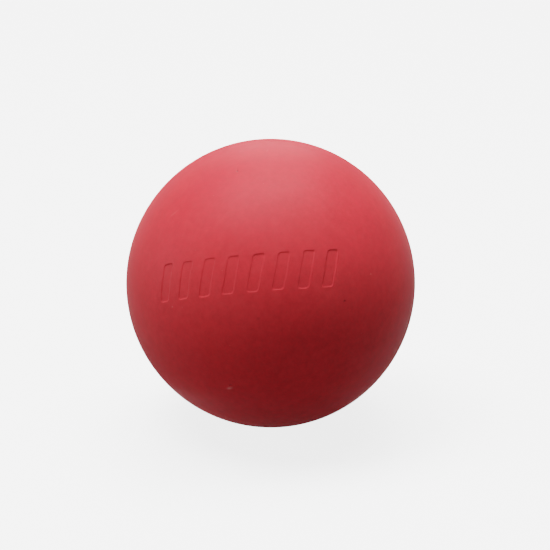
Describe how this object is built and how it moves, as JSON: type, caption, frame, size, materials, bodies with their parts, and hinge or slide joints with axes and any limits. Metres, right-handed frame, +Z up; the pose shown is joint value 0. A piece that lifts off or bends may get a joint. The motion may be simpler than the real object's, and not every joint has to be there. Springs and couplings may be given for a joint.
{
  "type": "massage ball",
  "caption": "Solid rubber massage ball with a smooth matte skin and a shallow recessed row of slanted bars.",
  "frame": {"origin": "centre of the ball", "axes": "+Z up, away from what the ball lies on; the recessed mark faces -Y, tilted up by 23 degrees; +X to the right of a person who faces the mark"},
  "size_m": [0.063, 0.063, 0.063],
  "materials": {
    "ball_rubber": "matte"
  },
  "bodies": {
    "root": {"ball_body": "ball_rubber"}
  },
  "joints": []
}
